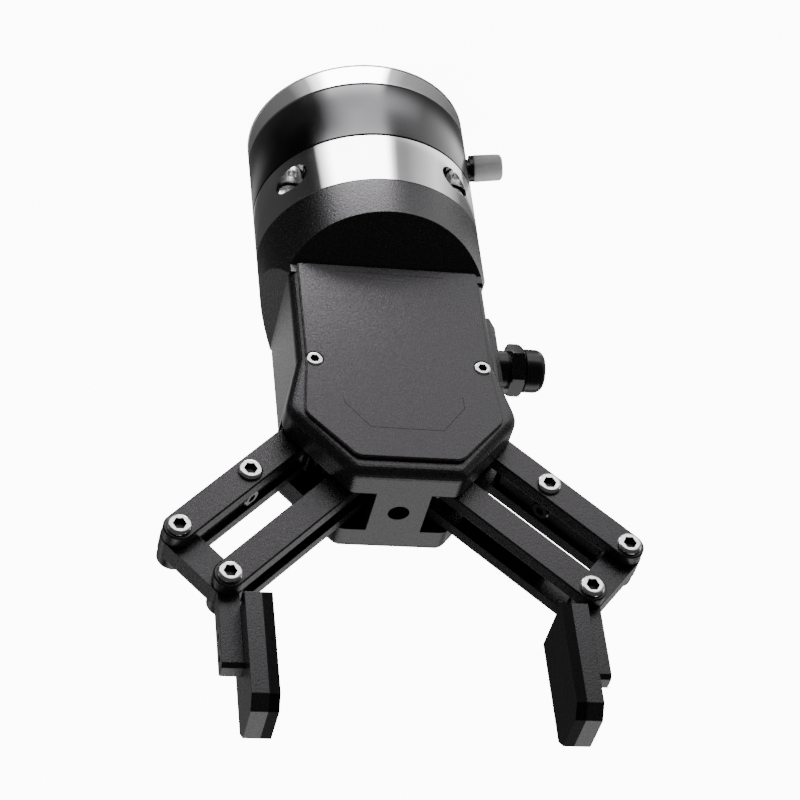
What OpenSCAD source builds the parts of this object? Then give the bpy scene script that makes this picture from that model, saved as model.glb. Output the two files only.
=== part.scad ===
// Electric two finger gripper. Millimetres, +Z from the mounting face to the fingertips.
// The front cover faces -Y, the cable gland is on -X. "right" is +X and "left" is -X.
// Each finger is carried by two equal arms, so it stays upright while it swings in and out.

/* [Barrel and rings] */
// Radius of the round barrel that the rings and the body collar share
barrel_r = 33.5; // [32.5:0.5:35]
// Thickness of the adapter plate on the robot's side
plate_h = 8.4; // [7.4:0.2:12]
// Height of the dark coupling ring
ring_h = 21.2; // [18:0.2:26]
// Height of the bright clamp flange
flange_h = 18.4; // [16:0.2:24]
// Bevel on the edges of the rings
ring_bevel = 0.4; // [0.2:0.1:0.8]
// Wall of the coupling ring
ring_wall = 8; // [6:0.5:10]

/* [Robot interface] */
// Pitch circle diameter of the four mounting bolts
bolt_pcd = 50; // [48:0.5:52]
// Radius of a mounting bolt hole
bolt_hole_r = 3.3; // [3.1:0.1:3.5]
// Radius of the counterbore for a bolt head
bolt_head_r = 5.4; // [5:0.1:5.8]
// Depth of plate left under a bolt head
bolt_seat = 3.6; // [3:0.2:5]
// Radius of the centring bore
centring_r = 15.75; // [14:0.25:16.5]
// Radius of the dowel hole
dowel_r = 3; // [2.5:0.1:3.2]

/* [Clamp screws and connector] */
// Radius of a clamp screw's pocket in the clamp flange
pocket_r = 4.15; // [3.9:0.05:4.4]
// Radius of a clamp screw head
clamp_head_r = 3.5; // [3.2:0.1:3.6]
// Height of a clamp screw head
clamp_head_h = 4; // [3:0.5:4.5]
// Depth of a clamp screw's pocket, along the screw
pocket_depth = 10.4; // [9.4:0.2:12]
// Direction that the clamp screws lie along, degrees from +X
clamp_axis = -85.2; // [-95:0.2:-80]
// Distance from the barrel's side in to a clamp screw
clamp_in = 9.1; // [8.6:0.1:9.6]
// Radius of the grey connector cap
cap_r = 4.2; // [3.8:0.1:5]
// Length of the connector cap
cap_len = 9; // [6:0.5:14]
// Direction in which the connector points, degrees from +X
cap_angle = -170; // [-175:1:-150]
// Height of the connector above the adapter plate
cap_up = 5.6; // [5.2:0.1:9]

/* [Body] */
// Height of the body collar above the clamp flange
collar_h = 12.6; // [10:0.2:16]
// Length of the body from the clamp flange to its end face
body_len = 95.7; // [92:0.1:104]
// Distance from the barrel's side in to the body's flat sides
side_in = 4.7; // [3.5:0.1:5.4]
// Half depth of the body between its flat faces
face_y = 17.8; // [17.4:0.1:19]
// Radius of the hollow that runs from the collar to a flat face
scoop_r = 40; // [30:1:60]
// Height of that hollow
scoop_h = 8.7; // [7.5:0.1:10]
// Height over which the side slopes in from the collar
side_slope = 11.4; // [8:0.2:14]
// Rounding along the edges of the flat faces
edge_r = 3; // [2:0.1:3.6]
// Radius of the body's lobe round each outer pivot
lobe_r = 7.2; // [6.8:0.1:8]
// Radius of the body's lower corners
heel_r = 4; // [3.6:0.1:5]
// Half distance between the lower corners' centres
heel_x = 13.5; // [12:0.1:15]
// Distance from the end face up to where the body starts to widen
waist_up = 39.7; // [36:0.1:44]
// Radius of the hole in the end face
nose_r = 3; // [2:0.1:3.2]
// Depth of the hole in the end face
nose_depth = 10; // [6:0.5:12]

/* [Front cover] */
// Thickness of the cover plate
cover_t = 1.3; // [1:0.1:2]
// Distance from the body's flat side in to the cover's edge
cover_in = 2.25; // [1.6:0.05:2.8]
// Distance from the body's widest place in to the cover's edge
cover_wide_in = 4.5; // [3.8:0.1:5.2]
// Half width of the cover's bottom edge
cover_low_x = 14.8; // [14:0.1:16]
// Distance from the end face to the cover's bottom edge
cover_up = 4.8; // [4:0.1:6]
// Radius of the cover's lower corners
cover_r = 4; // [2:0.5:6]
// Radius of a cover screw head
cover_head_r = 2.5; // [2.2:0.1:2.8]
// Distance from the cover's edge in to its screws
cover_screw_in = 2.3; // [2:0.1:4]
// Distance of the cover screws from the end face
cover_screw_up = 38.3; // [37:0.1:42]

/* [Cable gland] */
// Thickness of the block that carries the gland
block_t = 4.2; // [3.5:0.1:6]
// Half width of the block
block_y = 11.5; // [10:0.5:13]
// Height of the block
block_h = 24; // [20:0.5:26]
// Bevel of the block's edges
block_bevel = 2; // [1:0.1:2.6]
// Radius across the corners of the gland's hexagon
gland_hex_r = 7.9; // [7:0.1:8.5]
// Radius of the gland's dome nut
gland_r = 6.4; // [5.6:0.1:6.8]
// Length of the gland outside the block
gland_len = 15.6; // [14:0.1:20]
// Radius of the cable passage
cable_r = 2.6; // [2:0.1:3]

/* [Arms] */
// Distance between the two pivots of every arm
arm_len = 52; // [46:0.5:60]
// Angle of the arms at rest, from +X towards +Z
arm_angle = 44; // [40:1:50]
// Half width of the outer arm
arm_hw = 4.4; // [4.2:0.1:4.6]
// Half width of the inner arm
inner_hw = 4.4; // [4.2:0.1:4.5]
// Half thickness of both arms
arm_y = 7.2; // [6.8:0.1:7.6]
// Half width of the gap between an arm's plates
gap_y = 3.2; // [3:0.1:3.6]
// Bevel along the edges of arms and fingers
bevel = 0.35; // [0.2:0.05:0.5]
// Distance from the barrel's side in to the outer pivots
outer_in = 7.9; // [7.5:0.1:8.3]
// Distance of the outer pivots from the end face
outer_up = 23.2; // [22:0.1:24]
// Distance of the inner pivots from the middle
inner_x = 12.7; // [12.6:0.1:13.2]
// Distance of the inner pivots from the end face
inner_up = 8.4; // [8:0.1:9]
// Distance along the outer arm from its pivot to its middle screw
mid_screw_s = 23.5; // [20:0.5:30]
// Half width of the outer arm's spacer
spacer_hw = 3; // [2.6:0.1:3.4]
// Distance from the middle screw out to the set screw
set_screw_out = 1.8; // [0:0.1:3]
// Radius of the set screw's head
set_head_r = 2.75; // [2.2:0.05:2.8]
// Height of the set screw's head
set_head_h = 0.9; // [0.6:0.1:1]
// Radius of the pins that the arms turn on in the body
pin_r = 2; // [1.8:0.1:2.2]
// Radius of the shoulder screws in the arms
shank_r = 2; // [1.8:0.1:2.2]
// Radius of a shoulder screw's head
head_r = 3.5; // [3.2:0.1:3.8]
// Height of a shoulder screw's head
head_h = 1.5; // [1.2:0.1:2]

/* [Fingers] */
// Width of the finger's bar, along X
bar_w = 5.9; // [5.2:0.1:7]
// Distance from the lower pivot to the bar's far side
bar_out = 2.9; // [2.6:0.1:3.6]
// Length of the bar below the lower pivot
bar_len = 26.6; // [24:0.1:30]
// Half width of the coupler round its pivots
coupler_hw = 4.6; // [4.4:0.1:5]
// Thickness of the fingertip plate
tip_t = 4.7; // [4:0.1:6]
// Half width of the fingertip
tip_y = 10; // [8:0.5:12]
// Distance from the lower pivot to the top of the fingertip
tip_top = 7.6; // [6.8:0.1:9]
// Length of the fingertip
tip_len = 35; // [30:0.5:42]
// Bevel of the fingertip's lower corners
tip_bevel = 3.5; // [2:0.1:5]
// Thickness of the rubber pad
pad_t = 2.9; // [2:0.1:3]
// Distance from the lower pivot to the upper tip screw
tip_screw_drop = 15.6; // [13:0.1:16]
// Distance between the two tip screws
tip_screw_gap = 7; // [6.4:0.1:9]

/* [Drive] */
// Number of teeth of a whole pinion
teeth = 13; // [12:1:13]
// Module of the rack and pinion teeth
gear_module = 1; // [0.95:0.05:1]
// Pressure angle of the teeth
pressure = 25; // [22:1:26]
// Play between the teeth
backlash = 0.12; // [0.08:0.02:0.2]
// Angle that an arm turns from rest to closed
close_angle = 48.1; // [40:0.1:48.2]
// Angle that an arm turns from rest to fully open
open_angle = 14.8; // [10:0.1:15]
// Height of the crosshead
yoke_h = 8; // [7:0.5:9]
// Radius of the drive nut
nut_r = 6.4; // [6:0.1:7]
// Radius of the lead screw's thread
screw_r = 4; // [3.6:0.1:4.2]
// Radius of the lead screw's journals
journal_r = 3; // [2.6:0.1:3.2]
// Radius of the motor and its gearbox
motor_r = 11; // [10:0.1:11.2]
// Length of the motor
motor_len = 28; // [24:1:32]
// Length of the planetary gearbox
gearbox_len = 16; // [13:0.5:17]

/* [Hidden] */

$fn = 64;
eps = 0.01;
run_gap = 0.04;      // running clearance of a pin in its bore, on the radius
side_gap = 0.1;      // clearance between parts that turn beside each other
free_gap = 0.4;      // clearance round parts that move in a pocket
far = 60;            // reaches past the part from any point inside it

// Heights of the stack
ring_z = plate_h;
flange_z = ring_z + ring_h;
body_z = flange_z + flange_h;
collar_z = body_z + collar_h;
end_z = body_z + body_len;
middle_z = collar_z + side_slope;
waist_z = end_z - waist_up;
clamp_z = flange_z + 0.45 * flange_h;
clamp_off = barrel_r - clamp_in;
clamp_seat = sqrt(barrel_r * barrel_r - clamp_off * clamp_off) - pocket_depth;
cap_z = ring_z + cap_up;

// Half widths of the body and its cover
side_x = barrel_r - side_in;
outer_x = barrel_r - outer_in;
cover_x = side_x - cover_in;
cover_wide_x = outer_x + lobe_r - cover_wide_in;

// Pivots, as [x, z], in the rest pose
outer_p = [outer_x, end_z - outer_up];
inner_p = [inner_x, end_z - inner_up];
arm_v = arm_len * [cos(arm_angle), sin(arm_angle)];
wrist_p = outer_p + arm_v;
lower_p = inner_p + arm_v;

// Slots in the body for the arms
washer_t = 1.1;
slot_y = arm_y + washer_t + side_gap;
slot_x = inner_x - inner_hw - 0.2 - inner_up * max(0, -cos(arm_angle + close_angle));

// Rack and pinion
pitch_r = gear_module * teeth / 2;
base_r = pitch_r * cos(pressure);
tip_r = pitch_r + gear_module;
root_r = pitch_r - 1.2 * gear_module;
tooth_pitch = PI * gear_module;
close_travel = pitch_r * close_angle * PI / 180;
open_travel = pitch_r * open_angle * PI / 180;
rack_x = outer_x - pitch_r;
rack_back = 2.3;
rack_y = gap_y - 2 * side_gap;
slot_z = outer_p[1] - max(root_r, arm_hw) - free_gap;

// Chamber of the crosshead, and the drive train behind it
floor_t = 2;
stop_gap = 1;
chamber_top = slot_z - floor_t;
chamber_h = yoke_h + close_travel + open_travel + 2 * stop_gap;
chamber_z = chamber_top - chamber_h;
chamber_x = rack_x + gear_module + free_gap;
chamber_y = nut_r + 1.6;
yoke_z = chamber_z + stop_gap + close_travel;
bearing_r = 8;
bearing_h = 4;
bearing_z = chamber_z - bearing_h;
gearbox_z = bearing_z - gearbox_len;
motor_z = gearbox_z - motor_len;
motor_fit = 0.1;
bush_h = 6;
bush_r = 5;
bush_z = chamber_top + 6;
screw_end = bush_z + bush_h;

// Pocket for the control board, under the cover
board_t = 1.4;
board_gap = 0.8;
pocket_floor = motor_r + motor_fit + 1.6;
pocket_x = 18;
pocket_top = collar_z + 14;
pocket_h = 27;

// Cover outline, as [x, z], and the place of its screws
cover_top = collar_z + scoop_h + 0.1;
cover_waist = waist_z + 2;
cover_wide_z = end_z - 19.4;
cover_low_z = end_z - cover_up;
cover_screw = [cover_x - cover_screw_in, end_z - cover_screw_up];
cover_screw_r = 1.5;
cover_screw_len = 8;

// Gland, and the cable's way to the board
cable_way_r = cable_r + 0.4;
cable_way_x = -motor_r - motor_fit - cable_way_r - 1;
block_top = waist_z - 0.2 - block_h;
gland_z = block_top + 0.4 * block_h;
neck_len = 0.3 * gland_len;
hex_len = 0.27 * gland_len;

// Fingers
bar_x = lower_p[0] + bar_out;
tip_x = bar_x - bar_w;
pad_x = tip_x - tip_t;
tip_z = lower_p[1] + tip_top;
bush_wall = 1;
coupler_y = gap_y - side_gap;
tip_screw_r = 1.5;
tip_head_r = 2.6;
tip_screw_len = bar_w + tip_t - 1;

black = [0.07, 0.07, 0.075];
dark = [0.16, 0.16, 0.17];
bright = [0.8, 0.8, 0.82];
steel = [0.72, 0.73, 0.75];

// ---- Shared shapes ----

// Cylinder along Y from y0 to y1, with an end radius of its own if r2 is given
module ycyl(r, y0, y1, r2 = -1)
    translate([0, y0, 0]) rotate([-90, 0, 0]) cylinder(h = y1 - y0, r1 = r, r2 = r2 < 0 ? r : r2);

// Cylinder along X from x0 to x1
module xcyl(r, x0, x1) translate([x0, 0, 0]) rotate([0, 90, 0]) cylinder(h = x1 - x0, r = r);

// Box given by its two corners
module block(low, high) translate(low) cube(high - low);

// Moves its children to a pivot
module at(p) translate([p[0], 0, p[1]]) children();

// Lays its children along an arm: +X is along the arm, +Z is the side that faces the grip
module along_arm(p) at(p) rotate([0, -arm_angle, 0]) children();

// Round disc along Y whose rims are bevelled by b0 at y0 and by b1 at y1
module bevel_disc(r, y0, y1, b0, b1)
    rotate([-90, 0, 0]) rotate_extrude() polygon(concat([[0, y0], [r - b0, y0]],
        b0 > 0 ? [[r, y0 + b0]] : [], b1 > 0 ? [[r, y1 - b1]] : [], [[r - b1, y1], [0, y1]]));

// Flat bar along +X with bevelled long edges
module bevel_bar(len, hw, y0, y1, b0, b1)
    rotate([90, 0, 90]) linear_extrude(len) polygon(concat(
        b0 > 0 ? [[y0, b0 - hw], [y0 + b0, -hw]] : [[y0, -hw]],
        b1 > 0 ? [[y1 - b1, -hw], [y1, b1 - hw], [y1, hw - b1], [y1 - b1, hw]] : [[y1, -hw], [y1, hw]],
        b0 > 0 ? [[y0 + b0, hw], [y0, hw - b0]] : [[y0, hw]]));

// The same bar with a round end on each pivot
module round_bar(len, hw, y0, y1, b0, b1) {
    bevel_bar(len, hw, y0, y1, b0, b1);
    for (x = [0, len]) translate([x, 0, 0]) bevel_disc(hw, y0, y1, b0, b1);
}

// Turned ring with bevelled outer edges
module ring(r_in, r_out, h, b)
    rotate_extrude($fn = 128) polygon([[r_in, 0], [r_out - b, 0], [r_out, b], [r_out, h - b],
        [r_out - b, h], [r_in, h]]);

// Points of an outline whose corners are rounded, each with its own radius
function unit(v) = v / norm(v);
function corner_points(a, p, b, r) =
    let (u = unit(a - p), v = unit(b - p), half = acos(u * v) / 2, c = p + unit(u + v) * r / sin(half),
        p0 = p + u * r / tan(half), p1 = p + v * r / tan(half),
        a0 = atan2(p0[1] - c[1], p0[0] - c[0]), a1 = atan2(p1[1] - c[1], p1[0] - c[0]),
        turn = (a1 - a0 + 540) % 360 - 180)
    r <= 0 ? [p] : [for (i = [0:6]) c + r * [cos(a0 + turn * i / 6), sin(a0 + turn * i / 6)]];
function rounded(p, r) =
    [for (i = [0:len(p) - 1]) each corner_points(p[(i + len(p) - 1) % len(p)], p[i],
        p[(i + 1) % len(p)], r[i])];

// Plate in the XZ plane from y0 to y1
module xz_plate(points, y0, y1) translate([0, y1, 0]) rotate([90, 0, 0]) linear_extrude(y1 - y0)
    polygon(points);

// Cap screw along +Y: its head's face is at y = 0 and its shank ends at y = len
module cap_screw(hr, hh, sr, len, hex_r)
    difference() {
        union() {
            bevel_disc(hr, 0, hh, 0.3, 0);
            ycyl(sr, 0, len);
        }
        rotate([-90, 0, 0]) translate([0, 0, -eps]) cylinder(h = 0.75 * hh + 0.4, r = hex_r, $fn = 6);
    }

// Mirrors its children to the left side when side is -1
module on_side(side) mirror([side < 0 ? 1 : 0, 0, 0]) children();

// ---- Barrel ----

module adapter_plate() color(bright) difference() {
    ring(centring_r, barrel_r, plate_h, ring_bevel);
    for (a = [45:90:315]) rotate(a) translate([bolt_pcd / 2, 0, 0]) {
        translate([0, 0, -eps]) cylinder(h = plate_h + 1, r = bolt_hole_r);
        translate([0, 0, bolt_seat]) cylinder(h = plate_h, r = bolt_head_r);
    }
    translate([0, bolt_pcd / 2, -eps]) cylinder(h = plate_h + 1, r = dowel_r);
}

module coupling_ring() color(dark) translate([0, 0, ring_z]) difference() {
    ring(barrel_r - ring_wall, barrel_r, ring_h, ring_bevel);
    rotate(cap_angle) translate([0, 0, cap_up]) xcyl(0.5 * cap_r, 0, far);
}

// The screws that hold the body sit on this pitch radius in the flange
body_screw_pr = 20;
body_screw_head_r = 3.5;
body_screw_head_h = 4;
body_screw_seat = 8;
body_screw_len = 22;

module clamp_flange() color(bright) difference() {
    translate([0, 0, flange_z]) ring(motor_r + 1, barrel_r, flange_h, ring_bevel);
    clamp_places() {
        xcyl(pocket_r, clamp_seat, far);
        xcyl(shank_r, clamp_seat - clamp_reach - 0.5, far);
    }
    body_screw_places() {
        translate([0, 0, -far]) cylinder(h = far, r = body_screw_head_r + free_gap);
        cylinder(h = far, r = shank_r);
    }
}

// Reach of a clamp screw beyond its seat
clamp_reach = 4.5;

// Carries its children to each clamp screw, which lies along +X and off the barrel's middle
module clamp_places()
    for (turn = [0, 180], side = [-1, 1])
        rotate(clamp_axis + turn) translate([0, side * clamp_off, clamp_z]) children();

// Carries its children to the seat of each body screw
module body_screw_places()
    for (a = [0:90:270]) rotate(a) translate([body_screw_pr, 0, flange_z + body_screw_seat]) children();

module clamp_screws() color(steel) clamp_places()
    translate([clamp_seat + clamp_head_h, 0, 0]) rotate([0, 0, 90])
        cap_screw(clamp_head_r, clamp_head_h, shank_r, clamp_head_h + clamp_reach, 0.48 * clamp_head_r);

module body_screws() color(steel) body_screw_places()
    translate([0, 0, -body_screw_head_h]) rotate([90, 0, 0])
        cap_screw(body_screw_head_r, body_screw_head_h, shank_r, body_screw_len, 1.7);

connector_base_len = 2;

// Threaded neck with a collar that the cap meets
module connector_base() color(dark) rotate(cap_angle) translate([0, 0, cap_z]) difference() {
    union() {
        xcyl(0.7 * cap_r, barrel_r - 0.5, barrel_r + connector_base_len);
        xcyl(cap_r - 0.1, barrel_r + 0.4 * connector_base_len, barrel_r + connector_base_len);
        xcyl(0.5 * cap_r, barrel_r - ring_wall, barrel_r);
    }
    // The neck is turned to fit the round ring
    translate([0, 0, -far / 2]) difference() {
        cylinder(h = far, r = barrel_r, $fn = 128);
        translate([0, 0, far / 2]) xcyl(0.5 * cap_r, 0, far);
    }
}

module connector_cap() color([0.6, 0.6, 0.62]) rotate(cap_angle)
    translate([barrel_r + connector_base_len, 0, cap_z]) rotate([0, 90, 0])
        rotate_extrude() polygon([[0, 0], [cap_r, 0], [cap_r - 0.1, cap_len - 1.2],
            [cap_r - 0.4, cap_len - 0.4], [cap_r - 1.2, cap_len], [0, cap_len]]);

// ---- Body ----

// Outline of the body's middle in the XY plane, with rounded corners
body_points = rounded([[-side_x, -face_y], [side_x, -face_y], [side_x, face_y], [-side_x, face_y]],
    [edge_r, edge_r, edge_r, edge_r]);

// Disc across the whole body, with its two rims rounded
module body_disc(p, r) at(p) rotate([90, 0, 0]) rotate_extrude($fn = 48) polygon(
    rounded([[0, -face_y], [r, -face_y], [r, face_y], [0, face_y]], [0, edge_r, edge_r, 0]));

// Lower body: it widens to a lobe round each outer pivot and closes in to its end face
module body_lower() hull() {
    translate([0, 0, waist_z]) linear_extrude(eps) polygon(body_points);
    for (side = [-1, 1]) {
        body_disc([side * outer_x, outer_p[1]], lobe_r);
        body_disc([side * heel_x, end_z - heel_r], heel_r);
    }
}

// Centre of the round hollow that leads from the collar down to a flat face, as [y, z]
scoop_lip = 0.05;
scoop_in = barrel_r - face_y - scoop_lip;
scoop_mid = [(barrel_r + face_y + scoop_lip) / 2, collar_z + scoop_h / 2];
scoop_half = norm([scoop_in, scoop_h]) / 2;
scoop_c = scoop_mid + sqrt(scoop_r * scoop_r - scoop_half * scoop_half)
    * [scoop_h, scoop_in] / (2 * scoop_half);

// Round collar that a hollow on each face and a slope on each side lead down to the body's middle
module body_collar() difference() {
    translate([0, 0, body_z]) cylinder(h = middle_z - body_z, r = barrel_r, $fn = 128);
    for (side = [-1, 1]) mirror([0, side < 0 ? 1 : 0, 0]) {
        block([-far, face_y, collar_z + scoop_h], [far, far, far + body_z]);
        intersection() {
            translate([0, scoop_c[0], scoop_c[1]]) rotate([0, 90, 0])
                cylinder(h = 2 * far, r = scoop_r, center = true, $fn = 128);
            block([-far, 0, body_z], [far, far, collar_z + scoop_h]);
        }
        mirror([side < 0 ? 1 : 0, 0, 0]) rotate([90, 0, 0]) linear_extrude(2 * far, center = true)
            polygon([[barrel_r, collar_z], [far, collar_z], [far, middle_z + 1], [side_x, middle_z + 1],
                [side_x, middle_z]]);
    }
}

module housing() color(black) difference() {
    union() {
        body_collar();
        translate([0, 0, middle_z]) linear_extrude(waist_z - middle_z) polygon(body_points);
        body_lower();
    }
    drive_bores();
    for (side = [-1, 1]) on_side(side) arm_cuts();
    // Seats of the pins that the arms turn on
    for (p = [outer_p, inner_p], side = [-1, 1])
        at([side * p[0], p[1]]) ycyl(pin_r, -pin_half, pin_half);
    board_pocket();
    for (side = [-1, 1]) at([side * cover_screw[0], cover_screw[1]])
        ycyl(cover_screw_r, -face_y - eps, cover_screw_len - face_y);
    body_screw_places() cylinder(h = body_screw_len - body_screw_head_h + 1, r = shank_r);
    translate([0, 0, end_z - nose_depth]) cylinder(h = nose_depth + 1, r = nose_r);
    // Cable way from the gland to the board's pocket, and the block's screws
    translate([0, 0, gland_z]) xcyl(cable_way_r, -far, cable_way_x);
    at([cable_way_x, gland_z]) ycyl(cable_way_r, -pocket_floor - 1, 0);
    block_screw_places() xcyl(block_screw_r, -side_x - 1, block_screw_len - side_x);
}

// Bores of the motor, gearbox, bearing, screw and end bush, and the crosshead's chamber
module drive_bores() {
    translate([0, 0, body_z - 1]) cylinder(h = bearing_z - body_z + 1, r = motor_r + motor_fit);
    translate([0, 0, bearing_z - eps]) cylinder(h = bearing_h + 1, r = bearing_r);
    block([-chamber_x, -chamber_y, chamber_z], [chamber_x, chamber_y, chamber_top]);
    translate([0, 0, chamber_top - eps]) cylinder(h = screw_end - chamber_top + free_gap, r = bush_r);
}

// Slot for both arms, open to the side and to the end, with room for the rack and the pinion
module arm_cuts() {
    block([slot_x, -slot_y, slot_z], [far, slot_y, end_z + 1]);
    block([rack_x - rack_back - free_gap - gear_module, -gap_y, chamber_top - eps],
        [chamber_x, gap_y, slot_z + eps]);
    at(outer_p) ycyl(tip_r + free_gap, -gap_y - side_gap, gap_y + side_gap);
}

module board_pocket() difference() {
    block([-pocket_x, -face_y - 1, pocket_top], [pocket_x, -pocket_floor, pocket_top + pocket_h]);
    for (x = [-1, 1], z = [0, 1]) at([x * (pocket_x - 3), pocket_top + 3 + z * (pocket_h - 6)])
        ycyl(1.6, -pocket_floor - board_gap, -pocket_floor + 1);
}

function cover_outline(inset) = rounded(
    [[inset - cover_x, cover_top + inset], [cover_x - inset, cover_top + inset],
        [cover_x - inset, cover_waist], [cover_wide_x - inset, cover_wide_z],
        [cover_low_x - 0.6 * inset, cover_low_z - inset], [0.6 * inset - cover_low_x, cover_low_z - inset],
        [inset - cover_wide_x, cover_wide_z], [inset - cover_x, cover_waist]],
    [0.8, 0.8, 12, cover_r, cover_r, cover_r, cover_r, 12]);

module front_cover() color(dark) difference() {
    union() {
        xz_plate(cover_outline(cover_edge), -face_y - cover_t, -face_y - cover_t + cover_edge);
        xz_plate(cover_outline(0), -face_y - cover_t + cover_edge, -face_y);
        // Lip that locates the cover in the board's pocket
        block([lip_gap - pocket_x, -face_y - eps, pocket_top + lip_gap],
            [pocket_x - lip_gap, lip_h - face_y, pocket_top + pocket_h - lip_gap]);
    }
    block([lip_gap + lip_w - pocket_x, -face_y, pocket_top + lip_gap + lip_w],
        [pocket_x - lip_gap - lip_w, far, pocket_top + pocket_h - lip_gap - lip_w]);
    for (side = [-1, 1]) at([side * cover_screw[0], cover_screw[1]]) {
        ycyl(cover_screw_r, -face_y - cover_t - 1, -face_y + 1);
        ycyl(cover_head_r + 0.15, -face_y - cover_t - 1, -face_y - cover_t + cover_sink);
    }
}

cover_edge = 0.25;
cover_sink = 0.8;
lip_gap = 0.2;
lip_w = 1.2;
lip_h = 1;

module cover_screws() color(steel) for (side = [-1, 1]) at([side * cover_screw[0], cover_screw[1]])
    translate([0, -face_y - cover_t - 0.3, 0])
        cap_screw(cover_head_r, cover_sink + 0.3, cover_screw_r, cover_screw_len, 0.45 * cover_head_r);

module control_board() color([0.05, 0.3, 0.15]) {
    board_y = -pocket_floor - board_gap - board_t;
    block([1.5 - pocket_x, board_y, pocket_top + 1.5],
        [pocket_x - 1.5, board_y + board_t, pocket_top + pocket_h - 1.5]);
    // Processor, driver stage and plug socket, in shares of the board's pocket
    for (c = [[-0.5, 0.22, -0.06, 0.52], [0.17, 0.19, 0.67, 0.41], [-0.33, 0.63, 0.44, 0.81]])
        block([c[0] * pocket_x, board_y - chip_t, pocket_top + c[1] * pocket_h],
            [c[2] * pocket_x, board_y, pocket_top + c[3] * pocket_h]);
}

chip_t = 1.1;

// ---- Cable entry ----

block_screw_r = 1.25;
block_screw_len = 5;

module block_screw_places() for (y = [-1, 1], z = [0, 1])
    translate([0, y * (block_y - 3.2), block_top + 3.2 + z * (block_h - 6.4)]) children();

module cable_block() color(black) difference() {
    translate([-side_x, 0, 0]) rotate([0, -90, 0]) hull() {
        translate([block_top, -block_y]) cube([block_h, 2 * block_y, eps]);
        translate([block_top, -block_y]) cube([block_h, 2 * block_y, block_t - block_bevel]);
        translate([block_top + block_bevel, block_bevel - block_y])
            cube([block_h - 2 * block_bevel, 2 * (block_y - block_bevel), block_t]);
    }
    translate([0, 0, gland_z]) xcyl(neck_r, -far, -side_x + eps);
}

neck_r = 5;
block_face = -side_x - block_t;

module gland_body() color(black) difference() {
    translate([block_face, 0, gland_z]) rotate([0, -90, 0]) {
        translate([0, 0, -block_t]) cylinder(h = block_t, r = neck_r);
        cylinder(h = neck_len, r = neck_r + 0.6);
        translate([0, 0, neck_len - eps]) cylinder(h = hex_len, r = gland_hex_r, $fn = 6);
    }
    translate([0, 0, gland_z]) xcyl(cable_way_r, -far, 0);
}

module gland_nut() color(black) translate([block_face - neck_len - hex_len, 0, gland_z])
    rotate([0, -90, 0]) rotate_extrude() polygon(concat(
        [[seal_r, 0], [gland_r - 0.4, 0], [gland_r, 0.6]],
        [for (a = [0:15:75]) [gland_r - 2 + 2 * cos(a), nut_len - 2 + 2 * sin(a)]],
        [[gland_r - 2, nut_len], [seal_r, nut_len]]));

nut_len = gland_len - neck_len - hex_len;
seal_r = 4;

module gland_seal() color([0.1, 0.1, 0.1])
    translate([block_face - neck_len - hex_len, 0, gland_z]) rotate([0, -90, 0])
        rotate_extrude() polygon([[cable_r, 0], [seal_r, 0], [seal_r, nut_len - 1.4],
            [seal_r - 0.6, nut_len - 0.8], [cable_r, nut_len - 0.8]]);

// ---- Drive ----

module motor() color([0.45, 0.45, 0.47]) translate([0, 0, motor_z]) {
    rotate_extrude() polygon([[0, 0], [motor_r - 1, 0], [motor_r, 1], [motor_r, motor_len], [0, motor_len]]);
}

module gearbox() color(steel) translate([0, 0, gearbox_z]) difference() {
    rotate_extrude() polygon([[0, 0], [motor_r, 0], [motor_r, gearbox_len - 6],
        [motor_r - 0.5, gearbox_len - 5.5], [motor_r, gearbox_len - 5], [motor_r, gearbox_len],
        [0, gearbox_len]]);
    translate([0, 0, gearbox_len - journal_in]) cylinder(h = far, r = journal_r + run_gap);
}

journal_in = 10;

module screw_bearing() color(steel) translate([0, 0, bearing_z]) difference() {
    ring(journal_r + run_gap, bearing_r, bearing_h, 0.3);
    // Groove between the two races
    translate([0, 0, bearing_h - 0.5]) difference() {
        cylinder(h = 1, r = bearing_r - 1.4);
        translate([0, 0, -1]) cylinder(h = 3, r = journal_r + 1.5);
    }
}

module screw_bush() color([0.7, 0.5, 0.25]) translate([0, 0, bush_z])
    ring(journal_r + run_gap, bush_r, bush_h, 0.2);

module lead_screw() color(steel) rotate_extrude() polygon([
    [0, gearbox_z + gearbox_len - journal_in + free_gap],
    [journal_r, gearbox_z + gearbox_len - journal_in + free_gap],
    [journal_r, chamber_z + 0.3], [screw_r, chamber_z + 0.3], [screw_r, bush_z - 0.3],
    [journal_r, bush_z - 0.3], [journal_r, screw_end], [0, screw_end]]);

// Flanged nut with its flange on the crosshead's far side
module drive_nut() color([0.75, 0.6, 0.3]) translate([0, 0, yoke_z]) difference() {
    union() {
        cylinder(h = yoke_h, r = nut_r - 1);
        cylinder(h = 1.5, r = nut_r);
    }
    translate([0, 0, -1]) cylinder(h = yoke_h + 2, r = screw_r + run_gap);
}

yoke_half = 10;

rack_half = tooth_pitch / 4 - backlash / 2;
rack_top = outer_p[1] + close_travel + 1.05 * tooth_pitch;
rack_root = rack_x - 1.15 * gear_module;
rack_points = concat([[rack_root - rack_back, yoke_z], [rack_root, yoke_z]],
    [for (k = [-2:2], q = [[-1, -1.15], [-1, 1], [1, 1], [1, -1.15]])
        [rack_x + q[1] * gear_module,
            outer_p[1] + (k + 0.5) * tooth_pitch + q[0] * (rack_half - q[1] * gear_module * tan(pressure))]],
    [[rack_root, rack_top], [rack_root - rack_back, rack_top]]);

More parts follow.
